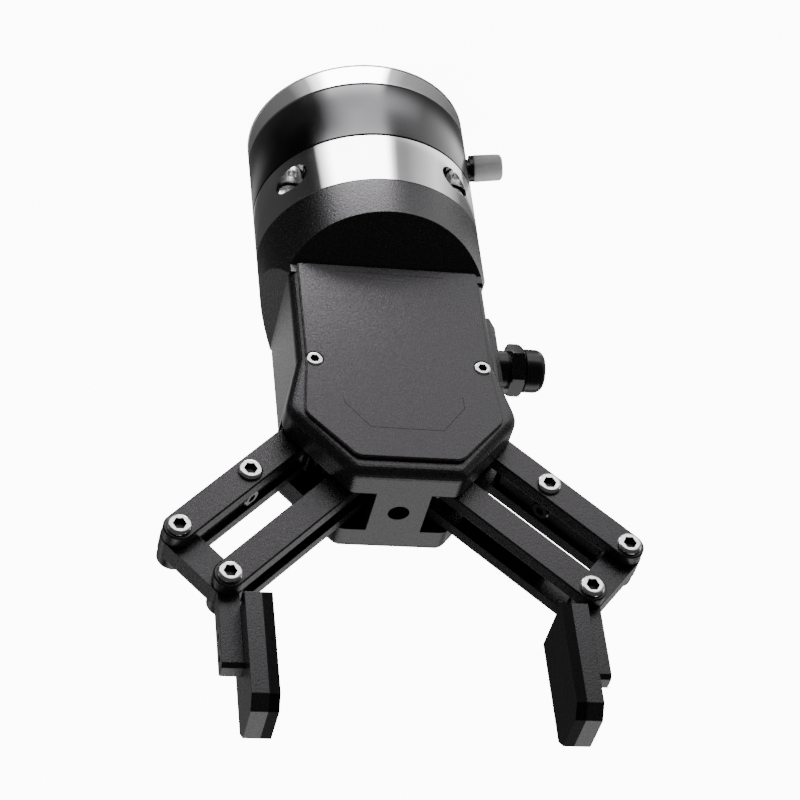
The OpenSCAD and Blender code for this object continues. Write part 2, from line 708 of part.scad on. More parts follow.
module crosshead() color([0.55, 0.56, 0.58]) difference() {
    union() {
        block([-yoke_half, -nut_r - 0.6, yoke_z], [yoke_half, nut_r + 0.6, yoke_z + yoke_h]);
        block([-rack_x + gear_module, -rack_y, yoke_z], [rack_x - gear_module, rack_y, yoke_z + yoke_h]);
        for (side = [-1, 1]) on_side(side) xz_plate(rack_points, -rack_y, rack_y);
    }
    translate([0, 0, yoke_z - 1]) cylinder(h = far, r = nut_r - 1);
    translate([0, 0, yoke_z - 1]) cylinder(h = 2.5, r = nut_r);
}

// ---- Pivots in the body ----

pin_half = 14;

module outer_pivot_pins() color(steel) for (side = [-1, 1])
    at([side * outer_p[0], outer_p[1]]) ycyl(pin_r, -pin_half, pin_half);

module inner_pivot_pins() color(steel) for (side = [-1, 1])
    at([side * inner_p[0], inner_p[1]]) ycyl(pin_r, -pin_half, pin_half);

module thrust_washers() color(steel) for (side = [-1, 1], p = [outer_p, inner_p], s = [-1, 1])
    at([side * p[0], p[1]]) mirror([0, s < 0 ? 1 : 0, 0]) difference() {
        ycyl(pin_r + 1.5, slot_y - washer_t, slot_y);
        ycyl(pin_r, 0, far);
    }

// ---- Arms ----

// Outer arm plate from y0 to y1: a front or a rear plate, bored at its pivots and its middle screw
module outer_plate(y0, y1, b0, b1) color(black) difference() {
    along_arm(outer_p) round_bar(arm_len, arm_hw, y0, y1, b0, b1);
    at(outer_p) ycyl(pin_r + run_gap, -far, far);
    along_arm(outer_p) for (s = [mid_screw_s, arm_len]) translate([s, 0, 0]) ycyl(shank_r, -far, far);
}

spacer_start = 7.7;
spacer_end_gap = 2;

module arm_spacer() color(dark) difference() {
    along_arm(outer_p) {
        translate([spacer_start + spacer_hw, 0, 0]) {
            ycyl(spacer_hw, -gap_y, gap_y);
            bevel_bar(arm_len - coupler_hw - spacer_end_gap - spacer_start - spacer_hw, spacer_hw,
                -gap_y, gap_y, 0, 0);
        }
    }
    along_arm(outer_p) {
        translate([mid_screw_s, 0, 0]) ycyl(shank_r, -far, far);
        translate([mid_screw_s + set_screw_out, 0, 0.6 * shank_r]) cylinder(h = far, r = set_screw_r);
    }
}

set_screw_r = 1.7;
set_screw_len = set_head_h + spacer_hw - shank_r - 0.1;

// Screw that locks the middle screw, from the side that faces the grip
module set_screw() color(steel) along_arm(outer_p)
    translate([mid_screw_s + set_screw_out, 0, spacer_hw + set_head_h]) rotate([-90, 0, 0])
        cap_screw(set_head_r, set_head_h, set_screw_r, set_screw_len, 0.5 * set_head_r);

// Outline of the pinion's teeth as one piece, each with involute sides
function involute(a) = tan(a) * 180 / PI - a;
function flank(r, side) = let (a = 90 / teeth + involute(pressure) - involute(acos(min(1, base_r / r))))
    r * [cos(side * a), sin(side * a)];
flank_r = [for (i = [0:5]) base_r + (tip_r - base_r) * i / 5];
tooth_points = concat([flank(base_r, -1) * (root_r - 0.3) / base_r], [for (r = flank_r) flank(r, -1)],
    [for (i = [5:-1:0]) flank(flank_r[i], 1)], [flank(base_r, 1) * (root_r - 0.3) / base_r]);
function turned(p, a) = [p[0] * cos(a) - p[1] * sin(a), p[0] * sin(a) + p[1] * cos(a)];
first_tooth = -3;
last_tooth = 1;
teeth_points = [for (k = [first_tooth:last_tooth], p = tooth_points) turned(p, 180 + k * 360 / teeth)];

// Pinion of five teeth that drives the outer arm from the rack
module pinion() color(steel) difference() {
    at(outer_p) {
        ycyl(root_r, -gap_y, gap_y);
        xz_plate(teeth_points, -gap_y, gap_y);
    }
    at(outer_p) ycyl(pin_r + run_gap, -far, far);
}

module arm_screw() translate([0, -arm_y - head_h + 0.2, 0])
    cap_screw(head_r, head_h - 0.2, shank_r, 2 * arm_y + head_h - 0.2, 0.5 * head_r);

module arm_screws() color(steel) along_arm(outer_p)
    for (s = [mid_screw_s, arm_len]) translate([s, 0, 0]) rotate([0, arm_angle, 0]) arm_screw();

web_start = 9;
web_end = 14;
web_t = 2;

module inner_arm() color(black) difference() {
    along_arm(inner_p) {
        round_bar(arm_len, inner_hw, -arm_y, -gap_y, bevel, 0);
        round_bar(arm_len, inner_hw, gap_y, arm_y, 0, bevel);
        // Web that joins the two walls, on the side away from the grip
        block([web_start, -gap_y - eps, -inner_hw], [arm_len - web_end, gap_y + eps, web_t - inner_hw]);
    }
    at(inner_p) ycyl(pin_r + run_gap, -far, far);
    at(lower_p) ycyl(shank_r, -far, far);
}

module inner_screw() color(steel) at(lower_p) arm_screw();

// ---- Fingers ----

bar_bevel = 1.1;

// Coupler between the two wrist pivots, and the bar that carries the fingertip, as [x, z]
module finger_outline() {
    for (p = [wrist_p, lower_p]) translate(p) circle(r = coupler_hw);
    translate(wrist_p) rotate(coupler_angle) translate([0, 0.03 - coupler_hw])
        square([norm(lower_p - wrist_p), 2 * coupler_hw - 0.06]);
    translate([tip_x, lower_p[1]]) square([bar_w, bar_len]);
}

module finger_base() color(black) difference() {
    translate([0, coupler_y, 0]) rotate([90, 0, 0]) linear_extrude(2 * coupler_y) difference() {
        finger_outline();
        for (p = [wrist_p, lower_p]) translate(p) circle(r = shank_r + bush_wall);
    }
    for (side = [-1, 1]) translate([0, side * coupler_y, lower_p[1] + bar_len]) rotate([45, 0, 0])
        cube([far * 4, bar_bevel * sqrt(2), bar_bevel * sqrt(2)], center = true);
    tip_screw_places() countersink(far, 1);
}

coupler_angle = atan2(lower_p[1] - wrist_p[1], lower_p[0] - wrist_p[0]);

// Carries its children to each tip screw, at the bar's outer face
module tip_screw_places() for (k = [0, 1])
    translate([bar_x, 0, lower_p[1] + tip_screw_drop + k * tip_screw_gap]) children();

// Countersunk shape along -X: the screw itself, or its hole when it reaches past the bar's face
module countersink(len, past) rotate([0, 90, 0]) rotate_extrude() polygon([[0, -len], [tip_screw_r, -len],
    [tip_screw_r, tip_screw_r - tip_head_r], [tip_head_r + past, past], [0, past]]);

module finger_bushes() color([0.7, 0.5, 0.25]) for (p = [wrist_p, lower_p]) at(p) difference() {
    ycyl(shank_r + bush_wall, -coupler_y, coupler_y);
    ycyl(shank_r + run_gap, -far, far);
}

// Outline of the fingertip seen along X, as [y, z]
function tip_outline() = [[-tip_y, 0], [tip_y, 0], [tip_y, tip_len - tip_bevel], [tip_y - tip_bevel, tip_len],
    [tip_bevel - tip_y, tip_len], [-tip_y, tip_len - tip_bevel]];

module tip_plate(x, t) translate([x, 0, tip_z]) rotate([90, 0, 90]) linear_extrude(t)
    polygon(tip_outline());

module fingertip() color(black) difference() {
    tip_plate(pad_x, tip_t);
    tip_screw_places() xcyl(tip_screw_r, -tip_screw_len, 1);
}

module finger_pad() color([0.03, 0.03, 0.03]) tip_plate(pad_x - pad_t, pad_t);

module tip_screws() color(steel) tip_screw_places() difference() {
    countersink(tip_screw_len, 0);
    translate([-1, 0, 0]) rotate([0, 90, 0]) cylinder(h = 2, r = 1.1, $fn = 6);
}

// ---- Nodes ----

adapter_plate();
coupling_ring();
clamp_flange();
clamp_screws();
body_screws();
connector_base();
connector_cap();
housing();
front_cover();
cover_screws();
control_board();
cable_block();
gland_body();
gland_nut();
gland_seal();
motor();
gearbox();
screw_bearing();
screw_bush();
outer_pivot_pins();
inner_pivot_pins();
thrust_washers();
lead_screw();
drive_nut();
crosshead();
outer_plate(-arm_y, -gap_y, bevel, 0);  // right_outer_front_plate
outer_plate(gap_y, arm_y, 0, bevel);  // right_outer_rear_plate
arm_spacer();  // right_arm_spacer
pinion();  // right_pinion
arm_screws();  // right_arm_screws
set_screw();  // right_set_screw
inner_arm();  // right_inner_arm
inner_screw();  // right_inner_screw
finger_base();  // right_finger_base
finger_bushes();  // right_finger_bushes
fingertip();  // right_fingertip
finger_pad();  // right_finger_pad
tip_screws();  // right_tip_screws
on_side(-1) outer_plate(-arm_y, -gap_y, bevel, 0);  // left_outer_front_plate
on_side(-1) outer_plate(gap_y, arm_y, 0, bevel);  // left_outer_rear_plate
on_side(-1) arm_spacer();  // left_arm_spacer
on_side(-1) pinion();  // left_pinion
on_side(-1) arm_screws();  // left_arm_screws
on_side(-1) set_screw();  // left_set_screw
on_side(-1) inner_arm();  // left_inner_arm
on_side(-1) inner_screw();  // left_inner_screw
on_side(-1) finger_base();  // left_finger_base
on_side(-1) finger_bushes();  // left_finger_bushes
on_side(-1) fingertip();  // left_fingertip
on_side(-1) finger_pad();  // left_finger_pad
on_side(-1) tip_screws();  // left_tip_screws
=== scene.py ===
import math

import bpy
import numpy as np
from mathutils import Matrix, Vector


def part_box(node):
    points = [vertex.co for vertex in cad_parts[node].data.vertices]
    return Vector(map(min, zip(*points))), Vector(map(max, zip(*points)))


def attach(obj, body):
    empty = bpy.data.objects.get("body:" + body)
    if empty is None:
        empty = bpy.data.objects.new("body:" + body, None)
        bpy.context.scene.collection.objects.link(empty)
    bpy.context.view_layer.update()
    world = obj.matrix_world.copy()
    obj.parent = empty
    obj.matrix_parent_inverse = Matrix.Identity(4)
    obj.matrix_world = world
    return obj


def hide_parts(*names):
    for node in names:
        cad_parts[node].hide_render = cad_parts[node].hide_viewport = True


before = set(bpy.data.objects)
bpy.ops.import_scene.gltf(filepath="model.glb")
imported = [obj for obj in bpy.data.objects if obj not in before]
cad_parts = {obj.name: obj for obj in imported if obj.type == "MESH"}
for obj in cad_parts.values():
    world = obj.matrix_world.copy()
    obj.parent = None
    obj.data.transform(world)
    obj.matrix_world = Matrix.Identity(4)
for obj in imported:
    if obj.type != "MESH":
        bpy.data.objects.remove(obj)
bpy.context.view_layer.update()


# ---- Camera ----
# The gripper hangs from the robot's wrist, so the camera looks at it upside down: it stands
# in front, above and to the right of the part, and is rolled by almost half a turn.
aim = np.array([-0.0044, 0.0, 0.103])
azimuth, elevation, roll = np.radians([15.99, 38.29, 173.01])
distance = 0.7627

back = np.array([math.sin(azimuth) * math.cos(elevation), -math.cos(azimuth) * math.cos(elevation),
                 math.sin(elevation)])
level_right = np.cross(-back, [0, 0, 1]) / np.linalg.norm(np.cross(-back, [0, 0, 1]))
level_up = np.cross(level_right, -back)
camera_right = math.cos(roll) * level_right + math.sin(roll) * level_up
camera_up = np.cross(back, camera_right)

camera_data = bpy.data.cameras.new("camera")
camera_data.lens = 119.2
camera_data.sensor_width = 36
camera_data.clip_start = 0.01
camera = bpy.data.objects.new("camera", camera_data)
bpy.context.collection.objects.link(camera)
camera.matrix_world = Matrix.Translation(aim + distance * back) @ Matrix(
    np.column_stack([camera_right, camera_up, back]).tolist()).to_4x4()
bpy.context.scene.camera = camera


# ---- Bright adapter plate ----
# The plate that bolts to the robot's flange: aluminium, turned on a lathe and left bright.
# Its face and rim carry the fine rings that the tool leaves.
def add(tree, kind, links=None, **settings):
    """A node with its plain settings, and its inputs set to a value or linked from a socket."""
    node = tree.nodes.new(kind)
    for key, value in settings.items():
        setattr(node, key, value)
    for key, value in (links or {}).items():
        if isinstance(value, bpy.types.NodeSocket):
            tree.links.new(value, node.inputs[key])
        else:
            node.inputs[key].default_value = value
    return node


def new_group(name, inputs, outputs):
    """A shader node group with float or colour inputs (name: default) and named outputs (name: kind)."""
    group = bpy.data.node_groups.new(name, "ShaderNodeTree")
    for label, default in inputs.items():
        kind = "NodeSocketColor" if isinstance(default, tuple) else "NodeSocketFloat"
        group.interface.new_socket(label, in_out="INPUT", socket_type=kind).default_value = default
    for label, kind in outputs.items():
        group.interface.new_socket(label, in_out="OUTPUT", socket_type=kind)
    return group, add(group, "NodeGroupInput").outputs, add(group, "NodeGroupOutput").inputs


def material(name, **shader):
    """A material with one Principled shader, its sockets set by name; returns it, its tree and the shader."""
    made = bpy.data.materials.new(name)
    made.use_nodes = True
    tree = made.node_tree
    tree.nodes.clear()
    principled = add(tree, "ShaderNodeBsdfPrincipled",
                     {label.replace("_", " "): value for label, value in shader.items()})
    tree.links.new(principled.outputs[0], add(tree, "ShaderNodeOutputMaterial").inputs["Surface"])
    return made, tree, principled


def finish_with(tree, principled, skin, values, depth, lift=0.00012):
    """Places a finish group with its own values, and feeds the shader's colour, roughness and bump from it.
    The bump is as strong as depth, and as high as lift in metres."""
    group = add(tree, "ShaderNodeGroup", node_tree=skin)
    for label, value in values.items():
        group.inputs[label].default_value = value
    bump_from = {"Height": group.outputs["Height"], "Strength": depth, "Distance": lift}
    if "Normal" in group.outputs:
        bump_from["Normal"] = group.outputs["Normal"]
    tree.links.new(group.outputs["Color"], principled.inputs["Base Color"])
    tree.links.new(group.outputs["Roughness"], principled.inputs["Roughness"])
    tree.links.new(add(tree, "ShaderNodeBump", bump_from).outputs[0], principled.inputs["Normal"])


def dress(finish, *names):
    """Gives one finish to the material slots of these CAD nodes."""
    for name in names:
        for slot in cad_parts[name].material_slots:
            slot.link = "DATA"
            slot.material = finish


# Turning marks: rings of slightly different height and gloss round the Z axis, which vary along
# both the axis and the radius, with a faint wander of tone.
turned, given, out = new_group(
    "turning_marks",
    {"Pitch": 2500.0, "Tone": (0.8, 0.8, 0.8, 1), "Roughness": 0.2, "Streak": 0.25},
    {"Color": "NodeSocketColor", "Roughness": "NodeSocketFloat", "Height": "NodeSocketFloat"})
place = add(turned, "ShaderNodeTexCoord").outputs["Object"]
part = add(turned, "ShaderNodeSeparateXYZ", {0: place}).outputs
level = add(turned, "ShaderNodeCombineXYZ", {0: part[0], 1: part[1]}).outputs[0]
radius = add(turned, "ShaderNodeVectorMath", {0: level}, operation="LENGTH").outputs["Value"]
ring_place = add(turned, "ShaderNodeCombineXYZ", {0: part[2], 1: radius}).outputs[0]
rings = add(turned, "ShaderNodeTexNoise",
            {"Vector": ring_place, "Scale": given["Pitch"], "Detail": 2.0}).outputs[0]
cloud = add(turned, "ShaderNodeTexNoise", {"Vector": place, "Scale": 90.0, "Detail": 3.0}).outputs[0]
swing = add(turned, "ShaderNodeMath", {0: rings, 1: 0.5}, operation="SUBTRACT").outputs[0]
streak = add(turned, "ShaderNodeMath",
             {0: swing, 1: given["Streak"], 2: 1.0}, operation="MULTIPLY_ADD").outputs[0]
cloudy = add(turned, "ShaderNodeMapRange", {"Value": cloud, "To Min": 0.93, "To Max": 1.07}).outputs[0]
gloss = add(turned, "ShaderNodeMath", {0: streak, 1: cloudy}, operation="MULTIPLY").outputs[0]
tone = add(turned, "ShaderNodeVectorMath", {0: given["Tone"], "Scale": cloudy}, operation="SCALE").outputs[0]
rough = add(turned, "ShaderNodeMath", {0: given["Roughness"], 1: gloss}, operation="MULTIPLY").outputs[0]
for value, label in ((tone, "Color"), (rough, "Roughness"), (rings, "Height")):
    turned.links.new(value, out[label])


def turned_metal(name, tone, roughness, streak=0.25, depth=0.04):
    """Metal turned round the Z axis."""
    made, tree, principled = material(name, Metallic=1.0)
    finish_with(tree, principled, turned,
                {"Tone": (*tone, 1), "Roughness": roughness, "Streak": streak}, depth)
    return made


dress(turned_metal("bright_aluminium", (0.80, 0.80, 0.81), 0.16), "adapter_plate")


# ---- Dark coupling ring ----
# Turned aluminium ring between the plate and the flange, anodised almost black, with a satin
# shine. It carries the neck of the round connector.
dark_anodised = turned_metal("dark_anodised", (0.058, 0.058, 0.06), 0.2, streak=0.12)
dress(dark_anodised, "coupling_ring", "connector_base")


# ---- Clamp flange and its screws ----
# Polished aluminium flange that clamps the body. Four cap screws are sunk in its deep pockets,
# and four long ones, which don't show, come up from it into the body.
dress(turned_metal("polished_aluminium", (0.88, 0.88, 0.89), 0.1, streak=0.3, depth=0.03), "clamp_flange")


# Fine grain: small even specks in the gloss and the height, over a slow drift of tone.
fine_grain, given, out = new_group(
    "fine_grain",
    {"Tone": (0.5, 0.5, 0.5, 1), "Roughness": 0.3, "Grain": 1500.0},
    {"Color": "NodeSocketColor", "Roughness": "NodeSocketFloat", "Height": "NodeSocketFloat"})
place = add(fine_grain, "ShaderNodeTexCoord").outputs["Object"]
specks = add(fine_grain, "ShaderNodeTexNoise",
             {"Vector": place, "Scale": given["Grain"], "Detail": 3.0}).outputs[0]
cloud = add(fine_grain, "ShaderNodeTexNoise", {"Vector": place, "Scale": 120.0, "Detail": 2.0}).outputs[0]
cloudy = add(fine_grain, "ShaderNodeMapRange", {"Value": cloud, "To Min": 0.92, "To Max": 1.08}).outputs[0]
tone = add(fine_grain, "ShaderNodeVectorMath",
           {0: given["Tone"], "Scale": cloudy}, operation="SCALE").outputs[0]
swing = add(fine_grain, "ShaderNodeMapRange", {"Value": specks, "To Min": 0.8, "To Max": 1.25}).outputs[0]
rough = add(fine_grain, "ShaderNodeMath", {0: given["Roughness"], 1: swing}, operation="MULTIPLY").outputs[0]
for value, label in ((tone, "Color"), (rough, "Roughness"), (specks, "Height")):
    fine_grain.links.new(value, out[label])


def grained(name, tone, roughness, grain, depth, **shader):
    """A finish with a fine even grain: ground metal, moulded plastic or rubber."""
    made, tree, principled = material(name, **shader)
    finish_with(tree, principled, fine_grain,
                {"Tone": (*tone, 1), "Roughness": roughness, "Grain": grain}, depth, lift=0.0001)
    return made


screw_steel = grained("screw_steel", (0.95, 0.95, 0.95), 0.12, 1800.0, 0.02, Metallic=1.0)
dress(screw_steel, "body_screws")
dress(grained("satin_steel", (0.95, 0.95, 0.95), 0.36, 1800.0, 0.02, Metallic=1.0), "clamp_screws")


# ---- Connector cap ----
# Moulded grey plastic cap with a rounded rim, pushed over the neck of the connector that
# stands out of the coupling ring.
def lathe(name, radius, height, axes, foot, finish, tube=False, inside=None, inside_row=0):
    """A solid whose point (row, turn) is foot + height[row, turn] along the axis, and radius[row, turn] from
    it at turn's angle. axes are two directions across the axis and the axis itself. The rows run from the
    foot outwards and up. The first and last row close in a pole, or, on a tube, meet each other. Rows from
    inside_row on take the finish of the inside."""
    radius, height = np.broadcast_arrays(radius, height)
    rows, turns = radius.shape
    angle = np.linspace(0, 2 * np.pi, turns, endpoint=False)
    local = np.stack([radius * np.cos(angle), radius * np.sin(angle), height], axis=-1).reshape(-1, 3)
    if not tube:
        local = np.vstack([local, [[0, 0, height[0].mean()], [0, 0, height[-1].mean()]]])
    row, step = np.meshgrid(np.arange(rows if tube else rows - 1), np.arange(turns), indexing="ij")
    near, far, after = row * turns, (row + 1) % rows * turns, (step + 1) % turns
    quads = np.stack([near + step, near + after, far + after, far + step], axis=-1).reshape(-1, 4).tolist()
    edge, pole = np.arange(turns), np.full(turns, rows * turns)
    top = (rows - 1) * turns + edge
    caps = [] if tube else [*np.stack([pole, np.roll(edge, -1), edge], axis=-1).tolist(),
                            *np.stack([pole + 1, top, np.roll(top, -1)], axis=-1).tolist()]
    mesh = bpy.data.meshes.new(name)
    mesh.from_pydata((local @ np.array(axes, float) + foot).tolist(), [], quads + caps)
    mesh.materials.append(finish)
    if inside:
        mesh.materials.append(inside)
        deep = np.concatenate([row.ravel() >= inside_row, np.zeros(turns), np.ones(turns)])
        mesh.polygons.foreach_set("material_index", deep.astype(np.int32))
    mesh.shade_smooth()
    mesh.set_sharp_from_angle(angle=math.radians(38))
    piece = bpy.data.objects.new(name, mesh)
    bpy.context.collection.objects.link(piece)
    return piece


def carry(piece, body, slot, *names):
    """The piece rides on a body and stands for these CAD nodes, which it hides. The slot is not used."""
    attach(piece, body)
    if names:
        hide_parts(*names)


def quarter(start, end, steps):
    """Points (radius, height) of a quarter ellipse that leaves start along the axis and meets end across it."""
    (wide, low), (narrow, high) = start, end
    bend = np.linspace(0, np.pi / 2, steps)
    return [(narrow + (wide - narrow) * math.cos(t), low + (high - low) * math.sin(t)) for t in bend]


def profile(points, turns=48):
    """Radius and height arrays of a plain round profile given as (radius, height) points."""
    points = np.array(points, float)
    return np.repeat(points[:, :1], turns, axis=1), np.repeat(points[:, 1:], turns, axis=1)


cap_low, cap_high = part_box("connector_cap")
cap_r, cap_len, cap_foot, cap_edge = 0.0042, 0.009, 0.0355, 0.0003
cap_dome_r, cap_dome_h, cap_draft = 0.0014, 0.0013, 0.0001
cap_turn = math.radians(-170)
cap_out = np.array([math.cos(cap_turn), math.sin(cap_turn), 0])
cap_across = np.array([-cap_out[1], cap_out[0], 0])
cap_centre = cap_out * cap_foot + np.array([0, 0, (cap_low[2] + cap_high[2]) / 2])
cap_dome = quarter((cap_r - cap_draft, cap_len - cap_dome_h), (cap_r - cap_dome_r, cap_len), 9)
cap = lathe("rounded_cap", *profile([(cap_r - cap_edge, 0), (cap_r, cap_edge), *cap_dome]),
            (cap_across, np.cross(cap_out, cap_across), cap_out), cap_centre,
            grained("grey_cap", (0.8, 0.8, 0.81), 0.5, 1500.0, 0.08))
carry(cap, "base", "cap_grey", "connector_cap")


# ---- Body, cable block and arms ----
# Machined aluminium, blasted to a fine grain and anodised black. Its sharp edges catch the
# light, where the finish is thinnest. The arms are dressed like the body, with a finer grain.
blasted, given, out = new_group(
    "blasted_black",
    {"Tone": (0.007, 0.007, 0.0072, 1), "Edge": (0.03, 0.03, 0.031, 1), "Roughness": 0.3, "Grain": 1500.0,
     "Wear": 0.1},
    {"Color": "NodeSocketColor", "Roughness": "NodeSocketFloat", "Height": "NodeSocketFloat",
     "Normal": "NodeSocketVector"})
place = add(blasted, "ShaderNodeTexCoord").outputs["Object"]
grain = add(blasted, "ShaderNodeTexNoise",
            {"Vector": place, "Scale": given["Grain"], "Detail": 3.0, "Roughness": 0.7}).outputs[0]
cloud = add(blasted, "ShaderNodeTexNoise", {"Vector": place, "Scale": 60.0, "Detail": 3.0}).outputs[0]
round_edge = add(blasted, "ShaderNodeBevel", {"Radius": 0.0003}, samples=4).outputs[0]
flat = add(blasted, "ShaderNodeNewGeometry").outputs["Normal"]
level = add(blasted, "ShaderNodeVectorMath",
            {0: round_edge, 1: flat}, operation="DOT_PRODUCT").outputs["Value"]
worn = add(blasted, "ShaderNodeMapRange",
           {"Value": level, "From Min": 0.995, "From Max": 0.93, "To Min": 0.0, "To Max": 1.0}).outputs[0]
patch = add(blasted, "ShaderNodeMath", {0: cloud, 1: given["Wear"]}, operation="MULTIPLY").outputs[0]
worn = add(blasted, "ShaderNodeMath", {0: worn, 1: patch}, operation="MULTIPLY").outputs[0]
speck = add(blasted, "ShaderNodeMapRange",
            {"Value": grain, "From Min": 0.3, "From Max": 0.7, "To Min": 0.4, "To Max": 1.6}).outputs[0]
specked = add(blasted, "ShaderNodeVectorMath",
              {0: given["Tone"], "Scale": speck}, operation="SCALE").outputs[0]
blend = add(blasted, "ShaderNodeMix", data_type="RGBA")
for value, socket in ((worn, 0), (specked, 6), (given["Edge"], 7)):
    blasted.links.new(value, blend.inputs[socket])
swing = add(blasted, "ShaderNodeMapRange",
            {"Value": grain, "From Min": 0.3, "From Max": 0.7, "To Min": 0.82, "To Max": 1.18}).outputs[0]
rough = add(blasted, "ShaderNodeMath", {0: given["Roughness"], 1: swing}, operation="MULTIPLY").outputs[0]
for value, label in ((blend.outputs[2], "Color"), (rough, "Roughness"), (grain, "Height"),
                     (round_edge, "Normal")):
    blasted.links.new(value, out[label])


def blasted_metal(name, roughness=0.3, grain=1500.0):
    """Blasted and black anodised aluminium."""
    made, tree, principled = material(name, IOR=1.6, Specular_Tint=(1, 0.95, 1, 1))
    finish_with(tree, principled, blasted, {"Roughness": roughness, "Grain": grain}, depth=0.8)
    return made


sides = {"right": 1, "left": -1}
dress(blasted_metal("blasted_body"), "housing", "cable_block")
dress(blasted_metal("blasted_arm", grain=1600.0),
      *[f"{side}_{part}" for side in sides for part in
        ("outer_front_plate", "outer_rear_plate", "arm_spacer", "inner_arm", "finger_base", "fingertip")])


# ---- Front cover ----
# Milled aluminium lid over the control board, black like the body, held by two small screws.
# Fine dark lines are scribed near its upper edge and round its lower corners. Their dark is painted shade,
# a matt black fill in each groove.
dress(blasted_metal("blasted_cover", roughness=0.32, grain=1400.0), "front_cover")

cover_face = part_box("front_cover")[0][1]
# A near-black, matt fill that is painted shade for the inside of the scribed grooves.
painted_groove_shade = grained("painted_groove_shade", (0.004, 0.004, 0.004), 0.7, 1500.0, 0.05)


def scribed_line(name, points, width=0.00016, proud=0.00002, depth=0.0001):
    """A thin groove that follows the points (x, z) on the cover's face, filled with a matt black strip of
    painted shade. Each point has two rim points, half the width to either side along the mean of the normals of
    the two stretches that meet there, made longer so that both stretches keep their width. Each rim point is
    there twice, proud of the face and under it."""
    points = np.array(points, float)
    along = np.diff(points, axis=0)
    along /= np.linalg.norm(along, axis=1, keepdims=True)
    before, after = np.vstack([along[:1], along]), np.vstack([along, along[-1:]])
    mitre = before + after
    mitre = np.stack([-mitre[:, 1], mitre[:, 0]], axis=1)
    normal = np.stack([-before[:, 1], before[:, 0]], axis=1)
    mitre *= width / 2 / np.sum(mitre * normal, axis=1, keepdims=True)
    rim = np.stack([points + mitre, points - mitre], axis=1)
    level = np.array([cover_face - proud, cover_face + depth])
    count = len(points)
    verts = np.empty((count, 2, 2, 3))
    verts[..., 0], verts[..., 2] = rim[:, :, None, 0], rim[:, :, None, 1]
    verts[..., 1] = level
    first = np.arange(count - 1) * 4
    faces = [np.stack([first + i, first + j, first + j + 4, first + i + 4], axis=1)
             for i, j in ((0, 2), (2, 3), (3, 1), (1, 0))]
    ends = [[0, 1, 3, 2], [4 * count - 4, 4 * count - 2, 4 * count - 1, 4 * count - 3]]
    mesh = bpy.data.meshes.new(name)
    mesh.from_pydata(verts.reshape(-1, 3).tolist(), [], np.vstack(faces).tolist() + ends)
    mesh.materials.append(painted_groove_shade)
    piece = bpy.data.objects.new(name, mesh)
    bpy.context.collection.objects.link(piece)
    carry(piece, "base", "cover_black")


cover_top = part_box("front_cover")[0][2]
scribed_line("cover_line_top", [(0.0154, cover_top + 0.0024), (-0.0165, cover_top + 0.0028)])
scribed_line("cover_line_end", [(0.0172, 0.118), (0.0168, 0.1206), (0.0101, 0.1287), (-0.0105, 0.1289),
                                (-0.0173, 0.1205), (-0.0172, 0.1165)])


# ---- Socket screws ----
# Small button head screws of polished steel, with a domed rim and a hexagon socket:
# two in the cover, and one at the middle and at each end of the arms.
def hexagon(apothem, turns):
    """Radius of a hexagon's outline at each turn: its apothem over the cosine of the angle from the middle
    of the nearest side."""
    angle = np.linspace(0, 2 * np.pi, turns, endpoint=False)
    return apothem / np.cos((angle % (np.pi / 3)) - np.pi / 6)


# The socket's walls and floor are dark, dull steel: painted shade for the recess, over a socket that is also
# less polished than the head.
socket_shade_steel = grained("socket_shade_steel", (0.06, 0.06, 0.062), 0.45, 1800.0, 0.05, Metallic=1.0)


def button_screw(name, place, head_r, head_h, shank_r, reach):
    """A screw along Y whose head faces -Y. Its head sits on place, and its shank reaches on behind that. The
    rows go from the shank's end over the domed head, and down the walls of the hexagon socket to its floor."""
    turns, chamfer, edge = 48, 0.0002, 0.0001
    rim_h, crown_r, socket = 0.3 * head_h, 0.72 * head_r, 0.47 * head_r
    round_rows = [(shank_r - chamfer, -reach), (shank_r, chamfer - reach), (shank_r, 0), (head_r - edge, 0),
                  (head_r, edge), (head_r, rim_h), *quarter((head_r, rim_h), (crown_r, head_h), 8)[1:],
                  (1.22 * socket, head_h)]
    socket_rows = [(1.03, head_h - 0.00003), (1, head_h - 0.00015), (1, -0.0002), (0.96, -0.0004)]
    radius, height = profile(round_rows, turns)
    radius = np.vstack([radius, *[hexagon(socket, turns) * share for share, _ in socket_rows]])
    height = np.vstack([height, *[np.full((1, turns), level) for _, level in socket_rows]])
    return lathe(name, radius, height, ((1, 0, 0), (0, 0, 1), (0, -1, 0)), place, screw_steel,
                 inside=socket_shade_steel, inside_row=len(round_rows) + 1)


cover_low, cover_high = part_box("cover_screws")
cover_head_r, cover_head_h, cover_shank_r = (cover_high[2] - cover_low[2]) / 2, 0.0011, 0.0015
cover_seat, cover_screw_z = cover_low[1] + cover_head_h, (cover_low[2] + cover_high[2]) / 2
for number, side in enumerate((1, -1)):
    place = (side * (cover_high[0] - cover_head_r), cover_seat, cover_screw_z)
    screw = button_screw(f"cover_button_{number}", place, cover_head_r, cover_head_h, cover_shank_r,
                         cover_high[1] - cover_seat)
    carry(screw, "base", "screw_steel", "cover_screws")

